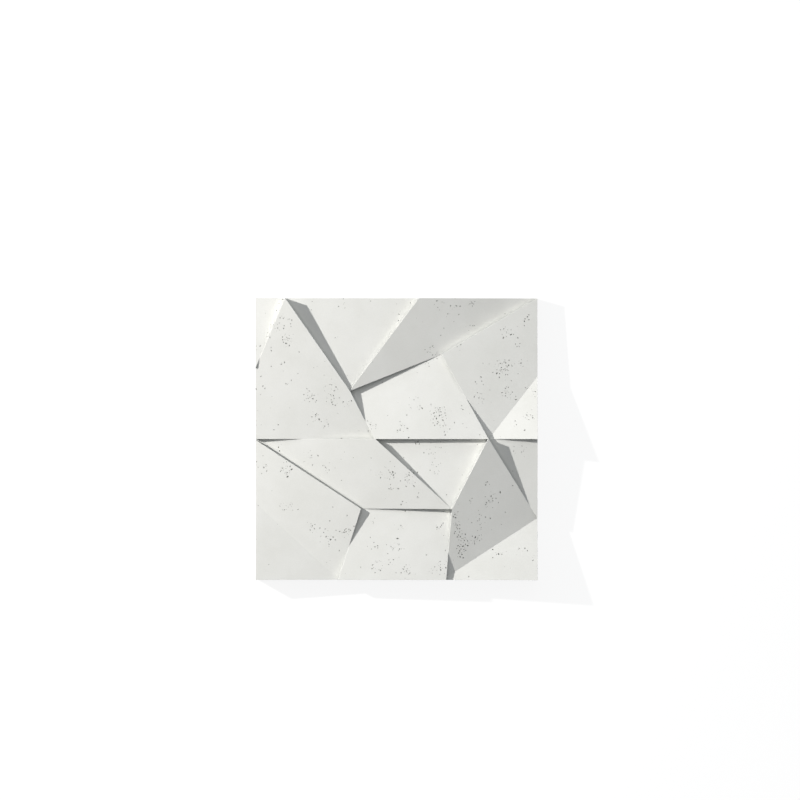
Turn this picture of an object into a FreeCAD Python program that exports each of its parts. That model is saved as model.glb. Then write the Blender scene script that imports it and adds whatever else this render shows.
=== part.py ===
import FreeCAD, Part
import os

from FreeCAD import Vector

# A square wall tile cast in one piece of concrete. It lies on its flat back, with +Z out of the
# relief, +X to the right and +Y up the wall, and the origin at the centre of the back.
# All sizes are in millimetres.

WIDTH = 600.0
HEIGHT = 600.0
LOWER_ROW = 300.0  # the straight row line is this far above the bottom edge
BACKING = 15.0  # concrete behind the relief
RELIEF = 60.0  # depth of the relief, from its lowest level to its highest
LAP = 2.0  # how far tall facets that meet at a point run past each other

# Corners on the edges
TOP_CUT = 63.0  # along the top edge, from the left edge
LEFT_CUT = 149.0  # down the left edge, from the top edge
TOP_RIDGE = 47.5  # along the top edge, right of the centre line
RIGHT_CREASE = 133.0  # up the right edge, from the row line
RIGHT_FOOT = 168.5  # down the right edge, from the row line
LEFT_CREASE = 161.5  # up the left edge, from the bottom edge
BOTTOM_CREASE = 124.5  # along the bottom edge, left of the centre line
BOTTOM_STEP = 105.5  # along the bottom edge, right of the centre line
CREASE_RISE = 5.5  # up the bottom step, from the bottom edge

# Corners on the row line, left and right of the centre line
ROW_VALLEY = 47.0
ROW_PEAK = 196.0

# Inner corners: distance from the centre line, and from the row line
UPPER_LEFT_OUT = 99.5
UPPER_LEFT_UP = 102.5
UPPER_RIGHT_OUT = 96.0
UPPER_RIGHT_UP = 180.5
LOWER_LEFT_OUT = 76.0
LOWER_LEFT_DOWN = 148.5
LOWER_RIGHT_OUT = 117.5
LOWER_RIGHT_DOWN = 149.0

LEFT = -WIDTH / 2
RIGHT = WIDTH / 2
TOP = HEIGHT / 2
BOTTOM = -HEIGHT / 2
ROW = BOTTOM + LOWER_ROW
UPPER_SLANT = (UPPER_RIGHT_UP - UPPER_LEFT_UP) / (UPPER_RIGHT_OUT + UPPER_LEFT_OUT)
RISE_SHARE = CREASE_RISE / (ROW - LOWER_RIGHT_DOWN - BOTTOM)

# Every corner of the facets in plan
CORNERS = {
    "top_left": (LEFT, TOP),
    "top_cut": (LEFT + TOP_CUT, TOP),
    "top_ridge": (TOP_RIDGE, TOP),
    "top_right": (RIGHT, TOP),
    "left_cut": (LEFT, TOP - LEFT_CUT),
    "upper_left": (-UPPER_LEFT_OUT, ROW + UPPER_LEFT_UP),
    "upper_left_lap": (-UPPER_LEFT_OUT - LAP, ROW + UPPER_LEFT_UP - LAP * UPPER_SLANT),
    "upper_right": (UPPER_RIGHT_OUT, ROW + UPPER_RIGHT_UP),
    "right_crease": (RIGHT, ROW + RIGHT_CREASE),
    "row_left": (LEFT, ROW),
    "row_left_lap": (LEFT, ROW - LAP),
    "row_valley": (-ROW_VALLEY, ROW),
    "row_valley_lap": (-ROW_VALLEY + LAP, ROW),
    "row_peak_lap": (ROW_PEAK - LAP, ROW),
    "row_peak": (ROW_PEAK, ROW),
    "row_right": (RIGHT, ROW),
    "lower_left": (-LOWER_LEFT_OUT, ROW - LOWER_LEFT_DOWN),
    "lower_right": (LOWER_RIGHT_OUT, ROW - LOWER_RIGHT_DOWN),
    "right_foot": (RIGHT, ROW - RIGHT_FOOT),
    "left_crease": (LEFT, BOTTOM + LEFT_CREASE),
    "bottom_left": (LEFT, BOTTOM),
    "bottom_crease": (-BOTTOM_CREASE, BOTTOM),
    "step_crease": (BOTTOM_STEP + RISE_SHARE * (LOWER_RIGHT_OUT - BOTTOM_STEP), BOTTOM + CREASE_RISE),
    "bottom_step": (BOTTOM_STEP, BOTTOM),
    "bottom_right": (RIGHT, BOTTOM),
}

# Each facet is a flat face: its corners in order, and its height at three of them as a percentage of the
# relief's depth. A facet that meets its neighbour in a clean crease names that neighbour instead of a height.
FACETS = {
    "corner_sliver": (
        ["top_left", "top_cut", "left_cut"],
        {"top_left": 73.0, "top_cut": 68.5, "left_cut": 82.0},
    ),
    "left_blade": (
        ["top_cut", "upper_left", "row_valley", "row_left", "left_cut"],
        {"top_cut": 100.0, "upper_left": 67.0, "row_left": 52.5},
    ),
    "top_wedge": (
        ["top_cut", "top_ridge", "upper_left"],
        {"top_cut": 57.5, "top_ridge": 37.0, "upper_left": 56.5},
    ),
    "top_slope": (
        ["top_ridge", "top_right", "upper_right", "upper_left_lap"],
        {"top_ridge": 59.5, "upper_right": 29.5, "upper_left_lap": 62.0},
    ),
    "right_slope": (
        ["top_right", "right_crease", "row_peak", "upper_right"],
        {"top_right": 24.0, "row_peak": 52.0, "upper_right": 49.0},
    ),
    "upper_shield": (
        ["upper_left", "upper_right", "row_peak", "row_valley"],
        {"upper_left": 41.0, "upper_right": 29.5, "row_peak": 70.5},
    ),
    "right_sail": (
        ["row_peak", "right_crease", "row_right"],
        {"row_peak": "right_slope", "right_crease": "right_slope", "row_right": 83.5},
    ),
    "left_ramp": (
        ["row_left_lap", "lower_left", "bottom_crease", "left_crease"],
        {"row_left_lap": 60.0, "lower_left": 55.0, "bottom_crease": 30.0},
    ),
    "bottom_corner": (
        ["left_crease", "bottom_crease", "bottom_left"],
        {"left_crease": "left_ramp", "bottom_crease": "left_ramp", "bottom_left": 51.0},
    ),
    "lower_blade": (
        ["row_left", "row_valley_lap", "lower_right", "lower_left", "row_left_lap"],
        {"row_left": 36.0, "row_valley_lap": 76.0, "lower_right": 65.5},
    ),
    "sunk_triangle": (
        ["row_valley_lap", "row_peak_lap", "lower_right"],
        {"row_valley_lap": 42.5, "row_peak_lap": 52.5, "lower_right": 65.5},
    ),
    "shadow_slope": (
        ["row_peak_lap", "row_peak", "right_foot", "step_crease", "lower_right"],
        {"row_peak": 90.5, "right_foot": 32.0, "lower_right": 74.0},
    ),
    "bottom_shield": (
        ["lower_left", "lower_right", "step_crease", "bottom_step", "bottom_crease"],
        {"lower_left": 34.5, "lower_right": 45.5, "bottom_crease": 48.0},
    ),
    "bottom_sail": (
        ["step_crease", "right_foot", "bottom_right", "bottom_step"],
        {"step_crease": "shadow_slope", "right_foot": "shadow_slope", "bottom_right": 74.0},
    ),
    "right_sliver": (
        ["row_peak", "row_right", "right_foot"],
        {"row_peak": 54.0, "row_right": 60.0, "right_foot": 38.5},
    ),
}


def facet_point(facet, corner):
    """The point of a facet's face at one of the corners that set its tilt"""
    level = FACETS[facet][1][corner]
    x, y = CORNERS[corner]
    if isinstance(level, str):
        return Vector(x, y, facet_height(level, corner))
    return Vector(x, y, BACKING + RELIEF * level / 100)


def facet_height(facet, corner):
    """Height of a facet's face over the back at any corner"""
    first, second, third = [facet_point(facet, name) for name in FACETS[facet][1]]
    normal = (second - first).cross(third - first)
    x, y = CORNERS[corner]
    return first.z - (normal.x * (x - first.x) + normal.y * (y - first.y)) / normal.z


def polygon(points):
    return Part.Face(Part.makePolygon(points + points[:1]))


def facet_prism(facet):
    """The solid between the flat back and a facet's tilted face, with upright sides"""
    outline = FACETS[facet][0]
    back = [Vector(*CORNERS[name], 0) for name in outline]
    front = [Vector(*CORNERS[name], facet_height(facet, name)) for name in outline]
    faces = [polygon(back), polygon(front)]
    for i in range(len(outline)):
        j = (i + 1) % len(outline)
        faces.append(polygon([back[i], back[j], front[j], front[i]]))
    return Part.makeSolid(Part.makeShell(faces))


def make_panel():
    prisms = [facet_prism(facet) for facet in FACETS]
    return prisms[0].fuse(prisms[1:]).removeSplitter()


os.makedirs("parts", exist_ok=True)
make_panel().exportStep("parts/panel.step")
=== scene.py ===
import math
import random

import bmesh
import bpy
from mathutils import Matrix, Vector, noise
from mathutils.bvhtree import BVHTree


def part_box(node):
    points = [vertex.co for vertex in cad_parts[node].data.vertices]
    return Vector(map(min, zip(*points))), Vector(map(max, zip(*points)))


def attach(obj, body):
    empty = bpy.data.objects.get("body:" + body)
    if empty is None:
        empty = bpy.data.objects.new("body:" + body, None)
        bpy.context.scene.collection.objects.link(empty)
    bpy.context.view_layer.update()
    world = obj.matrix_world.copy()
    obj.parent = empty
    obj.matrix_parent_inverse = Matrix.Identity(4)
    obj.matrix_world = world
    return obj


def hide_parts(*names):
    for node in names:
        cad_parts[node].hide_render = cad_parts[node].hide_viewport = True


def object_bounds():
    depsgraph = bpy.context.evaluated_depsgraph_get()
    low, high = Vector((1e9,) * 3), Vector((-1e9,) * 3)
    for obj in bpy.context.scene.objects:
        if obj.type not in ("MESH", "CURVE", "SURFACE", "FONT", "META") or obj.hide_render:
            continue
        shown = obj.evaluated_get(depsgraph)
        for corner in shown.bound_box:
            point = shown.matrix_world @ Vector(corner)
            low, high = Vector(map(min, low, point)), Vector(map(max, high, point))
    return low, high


MM = 0.001
PANEL = "panel"

# The picture: the tile's width in pixels, and where its centre lies in an 800 x 800 frame
FRAME_PIXELS = 800
TILE_PIXELS = 281.5
TILE_CENTRE_PIXELS = (396.65, 439.0)
LENS_MM = 200.0
SENSOR_MM = 36.0

# The key lamp stands to the upper left of the picture, low over the tile
LAMP_DISTANCE = 3.2  # along the floor from the tile's centre
LAMP_HEADING_DEG = 157.5  # from +X toward +Y
LAMP_STEEPNESS = 0.515  # its height over its distance
LAMP_RADIUS = 0.05
LAMP_POWER = 660.0
LAMP_COLOUR = (1.02, 1.0, 0.975)

# Soft light: a sky that is brighter toward the top of the picture and dimmer overhead
SKY_STRENGTH = 0.73
SKY_LEAN = 0.42
SKY_DIM = 0.46
SKY_HEADING_DEG = 92.0
SKY_COLOUR = (0.97, 1.0, 1.035, 1.0)

# The floor: what it reflects onto the tile, and the share and the glow that make it show white
FLOOR_HALF_WIDTH = 30.0
FLOOR_DROP = 0.2 * MM
FLOOR_BOUNCE = (0.3, 0.3, 0.3, 1.0)
FLOOR_FAINT = (0.16, 0.16, 0.16, 1.0)
FLOOR_GLOW = 0.88

# Edges of the casting
ARRIS = 0.3 * MM
BACK_ARRIS = 2.0 * MM
ARRIS_MIN_ANGLE_DEG = 35.0
FLAT_ANGLE_DEG = 0.3
TOUCHING = 0.01 * MM

# Painted shade: the colour is darkened along the inner corners, where the step walls meet the faces
CORNER_SHADE_REACH = 8 * MM
CORNER_SHADE_TINT = (0.70, 0.71, 0.72, 1.0)

# Air pores: groups seen on the face as (x, y, spread, count), in millimetres from the tile's centre
PORE_SEED = 41
PORE_GROUPS = [
    (-245, 290, 14, 5), (-240, 247, 26, 15), (-232, 210, 13, 26), (-296, 195, 10, 8), (-290, 100, 18, 8),
    (-237, 118, 12, 4), (-186, 93, 17, 26), (-138, 114, 18, 12), (-134, 88, 16, 18), (-108, 75, 11, 9),
    (-170, 49, 11, 11), (-150, 35, 16, 8), (-120, 52, 8, 2), (-293, 30, 14, 3), (-210, 188, 6, 2),
    (-259, 238, 10, 6), (-242, 157, 10, 4), (-268, 155, 6, 2), (-266, 187, 8, 3), (-272, 216, 8, 3),
    (-115, 292, 14, 6), (-60, 290, 12, 2), (5, 268, 18, 6), (95, 294, 14, 8), (123, 275, 14, 7),
    (161, 289, 8, 7), (45, 255, 10, 2), (155, 237, 12, 7), (75, 182, 18, 18), (130, 195, 14, 3),
    (230, 228, 16, 16), (262, 200, 10, 5), (276, 252, 12, 9), (228, 150, 22, 46), (265, 165, 12, 7),
    (180, 125, 12, 4), (174, 93, 10, 9), (236, 95, 16, 14), (178, 75, 10, 4), (280, 110, 10, 3),
    (35, 79, 14, 8), (92, 55, 22, 40), (95, 25, 20, 16), (12, 24, 20, 18), (-48, 30, 11, 12),
    (65, 155, 10, 4), (138, 62, 12, 3), (282, 48, 12, 11), (294, 98, 8, 6), (252, 30, 12, 4),
    (270, 15, 10, 3), (-285, -55, 20, 10), (-238, -66, 13, 22), (-230, -140, 15, 16), (-294, -142, 6, 3),
    (-179, -184, 12, 14), (-148, -210, 22, 15), (-106, -196, 14, 18), (-145, -262, 8, 2), (-184, -37, 13, 11),
    (-145, -60, 14, 10), (-252, -22, 8, 3), (-37, -75, 13, 7), (-12, -70, 18, 14), (25, -84, 20, 20),
    (48, -122, 10, 5), (-10, -104, 6, 5), (20, -135, 18, 4), (77, -18, 18, 10), (83, -60, 17, 18),
    (45, -15, 10, 3), (-5, -228, 16, 9), (-46, -230, 11, 7), (-45, -270, 14, 14), (-15, -265, 8, 5),
    (17, -277, 16, 20), (92, -270, 12, 14), (76, -278, 8, 5), (92, -185, 13, 8), (10, -190, 14, 4),
    (-50, -178, 8, 3), (125, -158, 7, 8), (127, -180, 8, 12), (129, -200, 8, 10), (142, -212, 10, 16),
    (140, -228, 12, 18), (136, -244, 8, 8), (166, -216, 9, 12), (178, -213, 6, 4), (200, -132, 17, 18),
    (180, -163, 20, 10), (185, -195, 18, 9), (160, -130, 10, 4), (188, -96, 10, 5), (220, -245, 14, 16),
    (267, -241, 12, 8), (288, -254, 8, 4), (240, -275, 16, 3), (271, -25, 14, 7), (248, -20, 10, 3),
]
COARSE_GROUPS = [
    (126, -162, 8, 5), (128, -185, 8, 7), (130, -202, 8, 4), (142, -212, 10, 9), (140, -230, 12, 11),
    (136, -245, 8, 5), (166, -216, 9, 6), (200, -132, 16, 10), (180, -165, 20, 4), (228, 152, 20, 13),
    (230, 228, 16, 4), (276, 252, 10, 3), (236, 98, 12, 4), (161, 289, 7, 4), (-232, 210, 12, 7),
    (-240, 245, 20, 4), (-136, 90, 14, 6), (-186, 93, 14, 4), (-170, 49, 10, 5), (92, 45, 22, 8),
    (13, 22, 14, 4), (75, 182, 14, 3), (-12, -78, 16, 4), (22, -88, 18, 5), (-238, -66, 12, 4),
    (-106, -196, 12, 4), (-148, -206, 18, 4), (-5, -228, 12, 4), (17, -277, 12, 4), (92, -270, 10, 3),
    (220, -245, 12, 3), (174, 93, 8, 2), (123, 275, 10, 2), (282, 48, 10, 2),
]
LONE_PORES = 130
SIDE_PORES = 20
PORE_SIZE = (0.45 * MM, 1.3 * MM)
COARSE_SIZE = (0.9 * MM, 1.7 * MM)
PORE_STRETCH = (1.0, 2.1)
PORE_GAP = 0.35 * MM
PORE_DEPTH = (0.7, 1.1)  # over its size
PORE_SINK = 0.25  # how far its centre lies under the face, over its size
PORE_LUMPS = 0.38
PORE_LUMP_SCALE = 1.3
PORE_MIN_FACING = 0.8  # a pore needs a face that looks back along its ray at least this squarely

# Concrete
ROUGHNESS = 0.88
SPECULAR = 0.25
CLOUD_SCALE = 14.0
SPECKLE_SCALE = 420.0
SPECKLE_SHARE = 0.35
GRAIN_SCALE = 900.0
GRAIN_DEPTH = 0.3 * MM
TONE_RANGE = (0.32, 0.62)
CORNER_SHADE_RANGE = (0.35, 1.0)

# Colour sockets of a Mix node: two inputs and the result
MIX_A = 6
MIX_B = 7
MIX_RESULT = 2


def srgb(red, green, blue):
    """Linear colour of an 8-bit screen colour"""
    def channel(value):
        share = value / 255
        return share / 12.92 if share <= 0.04045 else ((share + 0.055) / 1.055) ** 2.4
    return channel(red), channel(green), channel(blue), 1.0


def weld_flat_faces(mesh):
    """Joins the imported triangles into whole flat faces"""
    shape = bmesh.new()
    shape.from_mesh(mesh)
    bmesh.ops.remove_doubles(shape, verts=shape.verts, dist=TOUCHING)
    flat = math.radians(FLAT_ANGLE_DEG)
    bmesh.ops.dissolve_limit(shape, angle_limit=flat, verts=shape.verts, edges=shape.edges)
    return shape


def round_edges(shape, edges, size, segments):
    """One size of round along some edges"""
    bmesh.ops.bevel(
        shape, geom=edges, offset=size, offset_type="OFFSET", segments=segments, profile=0.5,
        affect="EDGES", clamp_overlap=True,
    )


def round_arrises(shape):
    """Rounds along the back edges, and smaller ones along the step walls; shallow creases stay crisp"""
    limit = math.radians(ARRIS_MIN_ANGLE_DEG)
    back = min(vert.co.z for vert in shape.verts) + TOUCHING
    foot = [edge for edge in shape.edges if max(vert.co.z for vert in edge.verts) < back]
    round_edges(shape, foot, BACK_ARRIS, 4)
    sharp = [edge for edge in shape.edges if edge.calc_face_angle(0.0) > limit]
    round_edges(shape, sharp, ARRIS, 2)


def pore_rays(draw, low, high):
    """Where to look for a surface to put each pore on: a point, a direction and the range of sizes"""
    rays = []
    down = Vector((0, 0, -1))
    for groups, sizes in ((COARSE_GROUPS, COARSE_SIZE), (PORE_GROUPS, PORE_SIZE)):
        for x, y, spread, count in groups:
            for _ in range(count):
                above = Vector((draw.gauss(x, spread / 2) * MM, draw.gauss(y, spread / 2) * MM, 1.0))
                rays.append((above, down, sizes))
    for _ in range(LONE_PORES):
        above = Vector((draw.uniform(low.x, high.x), draw.uniform(low.y, high.y), 1.0))
        rays.append((above, down, PORE_SIZE))
    for side in (Vector((1, 0, 0)), Vector((0, 1, 0)), Vector((-1, 0, 0)), Vector((0, -1, 0))):
        along = Vector((-side.y, side.x, 0))
        for _ in range(SIDE_PORES):
            height = Vector((0, 0, draw.uniform(low.z, high.z)))
            rays.append((height + along * draw.uniform(low.x, high.x) - side, side, PORE_SIZE))
    return rays


def pore_places(surface, low, high):
    """Points and normals for the pores, most of them in groups, none touching another"""
    draw = random.Random(PORE_SEED)
    places = []
    for start, direction, sizes in pore_rays(draw, low, high):
        size = sizes[0] + (sizes[1] - sizes[0]) * draw.random() ** 2
        stretch = draw.uniform(*PORE_STRETCH)
        turn = draw.uniform(0, math.pi)
        point, normal, _, _ = surface.ray_cast(start, direction)
        if point is None or normal.dot(direction) > -PORE_MIN_FACING:
            continue
        reach = size * stretch
        taken = [(point - other[0]).length < reach + other[-1] + PORE_GAP for other in places]
        if any(taken):
            continue
        places.append((point, normal, size, stretch, turn, reach))
    return places


def pore_cutter(places):
    """All pores as one mesh of lumpy closed blobs, sunk into the face"""
    shape = bmesh.new()
    draw = random.Random(PORE_SEED + 1)
    for point, normal, size, stretch, turn, _ in places:
        blob = bmesh.ops.create_icosphere(shape, subdivisions=2, radius=1.0)["verts"]
        offset = Vector((draw.uniform(0, 90), draw.uniform(0, 90), draw.uniform(0, 90)))
        depth = draw.uniform(*PORE_DEPTH)
        for vert in blob:
            vert.co *= 1 + PORE_LUMPS * noise.noise(vert.co * PORE_LUMP_SCALE + offset)
        shaping = (
            Matrix.Translation(point - normal * size * PORE_SINK)
            @ normal.to_track_quat("Z", "Y").to_matrix().to_4x4()
            @ Matrix.Rotation(turn, 4, "Z")
            @ Matrix.Diagonal((size * stretch, size, size * depth, 1.0))
        )
        bmesh.ops.transform(shape, matrix=shaping, verts=blob)
    mesh = bpy.data.meshes.new("pores")
    shape.to_mesh(mesh)
    shape.free()
    return mesh


def cut_pores(panel, mesh):
    """Takes the pores out of the panel and keeps the result in its mesh"""
    cutter = bpy.data.objects.new("pores", mesh)
    bpy.context.scene.collection.objects.link(cutter)
    for slot in panel.data.materials:
        mesh.materials.append(slot)
    for face in mesh.polygons:
        face.material_index = 1
    cut = panel.modifiers.new("pores", "BOOLEAN")
    cut.operation = "DIFFERENCE"
    cut.object = cutter
    cut.solver = "MANIFOLD"
    bpy.context.view_layer.update()
    graph = bpy.context.evaluated_depsgraph_get()
    result = bpy.data.meshes.new_from_object(panel.evaluated_get(graph))
    panel.modifiers.clear()
    panel.data = result
    bpy.data.objects.remove(cutter)


def concrete_material(name, light, dark, grain):
    """Matt cast concrete: faint clouds of tone, fine grain, and painted shade darkening the inner corners"""
    material = bpy.data.materials.new(name)
    material.use_nodes = True
    nodes = material.node_tree.nodes
    links = material.node_tree.links
    shader = nodes["Principled BSDF"]
    shader.inputs["Roughness"].default_value = ROUGHNESS
    shader.inputs["Specular IOR Level"].default_value = SPECULAR
    place = nodes.new("ShaderNodeTexCoord")

    def noise_node(scale, detail, roughness):
        node = nodes.new("ShaderNodeTexNoise")
        node.inputs["Scale"].default_value = scale
        node.inputs["Detail"].default_value = detail
        node.inputs["Roughness"].default_value = roughness
        links.new(place.outputs["Object"], node.inputs["Vector"])
        return node.outputs["Fac"]

    clouds = noise_node(CLOUD_SCALE, 5.0, 0.6)
    speckle = noise_node(SPECKLE_SCALE, 3.0, 0.6)
    blend = nodes.new("ShaderNodeMix")
    blend.data_type = "FLOAT"
    blend.inputs["Factor"].default_value = SPECKLE_SHARE
    links.new(clouds, blend.inputs["A"])
    links.new(speckle, blend.inputs["B"])
    tone = nodes.new("ShaderNodeValToRGB")
    tone.color_ramp.elements[0].position = TONE_RANGE[0]
    tone.color_ramp.elements[0].color = dark
    tone.color_ramp.elements[1].position = TONE_RANGE[1]
    tone.color_ramp.elements[1].color = light
    links.new(blend.outputs["Result"], tone.inputs["Fac"])
    # Painted shade: an occlusion mask darkens the base colour near the inner corners
    corner = nodes.new("ShaderNodeAmbientOcclusion")
    corner.samples = 8
    corner.only_local = True
    corner.inputs["Distance"].default_value = CORNER_SHADE_REACH
    corner_shade_ramp = nodes.new("ShaderNodeValToRGB")
    corner_shade_ramp.color_ramp.elements[0].position = CORNER_SHADE_RANGE[0]
    corner_shade_ramp.color_ramp.elements[0].color = CORNER_SHADE_TINT
    corner_shade_ramp.color_ramp.elements[1].position = CORNER_SHADE_RANGE[1]
    links.new(corner.outputs["AO"], corner_shade_ramp.inputs["Fac"])
    corner_shade_mix = nodes.new("ShaderNodeMix")
    corner_shade_mix.data_type = "RGBA"
    corner_shade_mix.blend_type = "MULTIPLY"
    corner_shade_mix.inputs["Factor"].default_value = 1.0
    links.new(tone.outputs["Color"], corner_shade_mix.inputs[MIX_A])
    links.new(corner_shade_ramp.outputs["Color"], corner_shade_mix.inputs[MIX_B])
    links.new(corner_shade_mix.outputs[MIX_RESULT], shader.inputs["Base Color"])

    fine = noise_node(GRAIN_SCALE, 4.0, 0.65)
    bump = nodes.new("ShaderNodeBump")
    bump.inputs["Strength"].default_value = grain
    bump.inputs["Distance"].default_value = GRAIN_DEPTH
    links.new(fine, bump.inputs["Height"])
    links.new(bump.outputs["Normal"], shader.inputs["Normal"])
    return material


def make_panel(node):
    """The cast tile with rounded arrises and its air pores, in place of the plain solid"""
    shape = weld_flat_faces(node.data)
    round_arrises(shape)
    mesh = bpy.data.meshes.new("cast_panel")
    shape.to_mesh(mesh)
    surface = BVHTree.FromBMesh(shape)
    shape.free()
    piece = bpy.data.objects.new("cast_panel", mesh)
    bpy.context.scene.collection.objects.link(piece)
    mesh.materials.append(concrete_material("concrete_face", srgb(227, 227, 223), srgb(220, 220, 215), 0.25))
    # The pores get a darker colour: partly dust, partly painted shade in their hollows
    mesh.materials.append(concrete_material("concrete_pore", srgb(196, 196, 188), srgb(172, 172, 164), 0.5))
    low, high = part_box(PANEL)
    cut_pores(piece, pore_cutter(pore_places(surface, low, high)))
    return piece


def seen_ray(tree):
    """1 for rays that show the background: from the camera, or by way of gloss or glass"""
    path = tree.nodes.new("ShaderNodeLightPath")
    either = path.outputs["Is Camera Ray"]
    for name in ("Is Glossy Ray", "Is Transmission Ray"):
        larger = tree.nodes.new("ShaderNodeMath")
        larger.operation = "MAXIMUM"
        tree.links.new(either, larger.inputs[0])
        tree.links.new(path.outputs[name], larger.inputs[1])
        either = larger.outputs[0]
    return either


def make_floor():
    """A pale floor that shows white and keeps a faint shadow"""
    mesh = bpy.data.meshes.new("floor")
    half = FLOOR_HALF_WIDTH
    corners = [(-half, -half), (half, -half), (half, half), (-half, half)]
    mesh.from_pydata([(x, y, -FLOOR_DROP) for x, y in corners], [], [(0, 1, 2, 3)])
    floor = bpy.data.objects.new("floor", mesh)
    bpy.context.scene.collection.objects.link(floor)
    material = bpy.data.materials.new("floor")
    material.use_nodes = True
    nodes = material.node_tree.nodes
    links = material.node_tree.links
    nodes.remove(nodes["Principled BSDF"])
    plain = nodes.new("ShaderNodeBsdfDiffuse")
    plain.inputs["Color"].default_value = FLOOR_BOUNCE
    faint = nodes.new("ShaderNodeBsdfDiffuse")
    faint.inputs["Color"].default_value = FLOOR_FAINT
    glow = nodes.new("ShaderNodeEmission")
    glow.inputs["Strength"].default_value = FLOOR_GLOW
    shown = nodes.new("ShaderNodeAddShader")
    links.new(faint.outputs[0], shown.inputs[0])
    links.new(glow.outputs[0], shown.inputs[1])
    mix = nodes.new("ShaderNodeMixShader")
    links.new(seen_ray(material.node_tree), mix.inputs["Fac"])
    links.new(plain.outputs[0], mix.inputs[1])
    links.new(shown.outputs[0], mix.inputs[2])
    links.new(mix.outputs[0], nodes["Material Output"].inputs["Surface"])
    mesh.materials.append(material)


def heading(degrees):
    """Unit vector along the floor at an angle from +X toward +Y"""
    turn = math.radians(degrees)
    return Vector((math.cos(turn), math.sin(turn), 0.0))


def make_lamp():
    """A small key lamp, close enough that its light thins out across the tile"""
    light = bpy.data.lights.new("key", "POINT")
    light.energy = LAMP_POWER
    light.color = LAMP_COLOUR
    light.shadow_soft_size = LAMP_RADIUS
    lamp = bpy.data.objects.new("key", light)
    lamp.location = heading(LAMP_HEADING_DEG) * LAMP_DISTANCE
    lamp.location.z = LAMP_STEEPNESS * LAMP_DISTANCE
    lamp.visible_camera = False
    bpy.context.scene.collection.objects.link(lamp)


def make_sky():
    """A soft sky, brighter to one side, shown as plain white"""
    world = bpy.data.worlds.new("studio")
    bpy.context.scene.world = world
    world.use_nodes = True
    nodes = world.node_tree.nodes
    links = world.node_tree.links
    place = nodes.new("ShaderNodeTexCoord")
    toward = nodes.new("ShaderNodeVectorMath")
    toward.operation = "DOT_PRODUCT"
    links.new(place.outputs["Generated"], toward.inputs[0])
    toward.inputs[1].default_value = heading(SKY_HEADING_DEG) * SKY_LEAN - Vector((0, 0, SKY_DIM))
    strength = nodes.new("ShaderNodeMath")
    strength.operation = "ADD"
    links.new(toward.outputs["Value"], strength.inputs[0])
    strength.inputs[1].default_value = SKY_STRENGTH
    sky = nodes["Background"]
    sky.inputs["Color"].default_value = SKY_COLOUR
    links.new(strength.outputs[0], sky.inputs["Strength"])
    white = nodes.new("ShaderNodeBackground")
    white.inputs["Color"].default_value = (1.0, 1.0, 1.0, 1.0)
    white.inputs["Strength"].default_value = 1.0
    mix = nodes.new("ShaderNodeMixShader")
    links.new(seen_ray(world.node_tree), mix.inputs["Fac"])
    links.new(sky.outputs[0], mix.inputs[1])
    links.new(white.outputs[0], mix.inputs[2])
    links.new(mix.outputs[0], nodes["World Output"].inputs["Surface"])


def make_camera(low, high):
    """Straight down on the tile, from far off, framed as in the picture"""
    pixel = (high.x - low.x) / TILE_PIXELS
    middle = FRAME_PIXELS / 2
    lens = bpy.data.cameras.new("camera")
    lens.lens = LENS_MM
    lens.sensor_width = SENSOR_MM
    lens.clip_end = 100.0
    camera = bpy.data.objects.new("camera", lens)
    camera.location = (
        (middle - TILE_CENTRE_PIXELS[0]) * pixel,
        (TILE_CENTRE_PIXELS[1] - middle) * pixel,
        (low.z + high.z) / 2 + FRAME_PIXELS * pixel * LENS_MM / SENSOR_MM,
    )
    bpy.context.scene.collection.objects.link(camera)
    bpy.context.scene.camera = camera


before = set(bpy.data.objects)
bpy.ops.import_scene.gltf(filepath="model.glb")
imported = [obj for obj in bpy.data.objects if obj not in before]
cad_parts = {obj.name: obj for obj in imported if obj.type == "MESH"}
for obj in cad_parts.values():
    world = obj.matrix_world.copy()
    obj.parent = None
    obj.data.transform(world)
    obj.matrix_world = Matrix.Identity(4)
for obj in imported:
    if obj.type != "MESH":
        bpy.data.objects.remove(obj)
cad_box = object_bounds()
make_camera(*cad_box)
make_lamp()
make_sky()
make_floor()
panel = make_panel(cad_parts[PANEL])
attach(panel, "root")
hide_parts(PANEL)
bpy.context.scene.view_settings.view_transform = "Standard"
